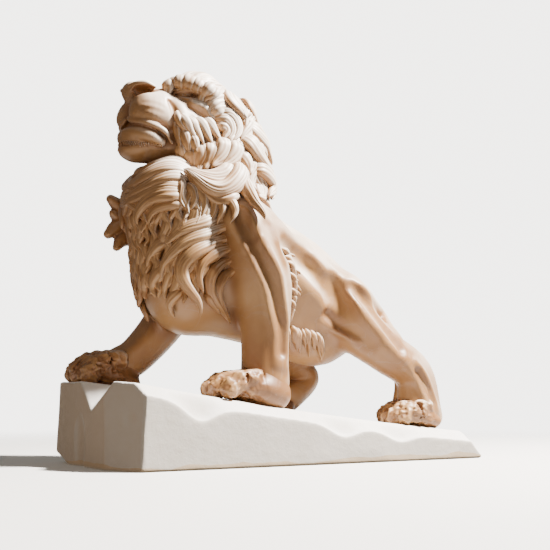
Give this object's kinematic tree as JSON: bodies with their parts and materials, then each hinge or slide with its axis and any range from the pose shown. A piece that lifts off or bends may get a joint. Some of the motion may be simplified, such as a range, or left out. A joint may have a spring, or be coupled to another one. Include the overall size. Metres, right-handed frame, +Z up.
{
  "type": "marble lion garden statue",
  "caption": "Striding lion carved in cream marble, head raised, on a rough-hewn sloping white rock base.",
  "frame": {"origin": "middle of the rock's flat underside, at ground level", "axes": "+Z up; the lion faces -X; its left side is at -Y"},
  "size_m": [1.88, 0.81, 1.7928],
  "materials": {
    "cream_marble": "honed marble, warm cream, with rough-tooled paws and undercut hair",
    "white_marble": "rough-hewn white marble, smooth scalloped hollows"
  },
  "bodies": {
    "root": {"lion": "cream_marble", "rock_base": "white_marble"}
  },
  "joints": []
}
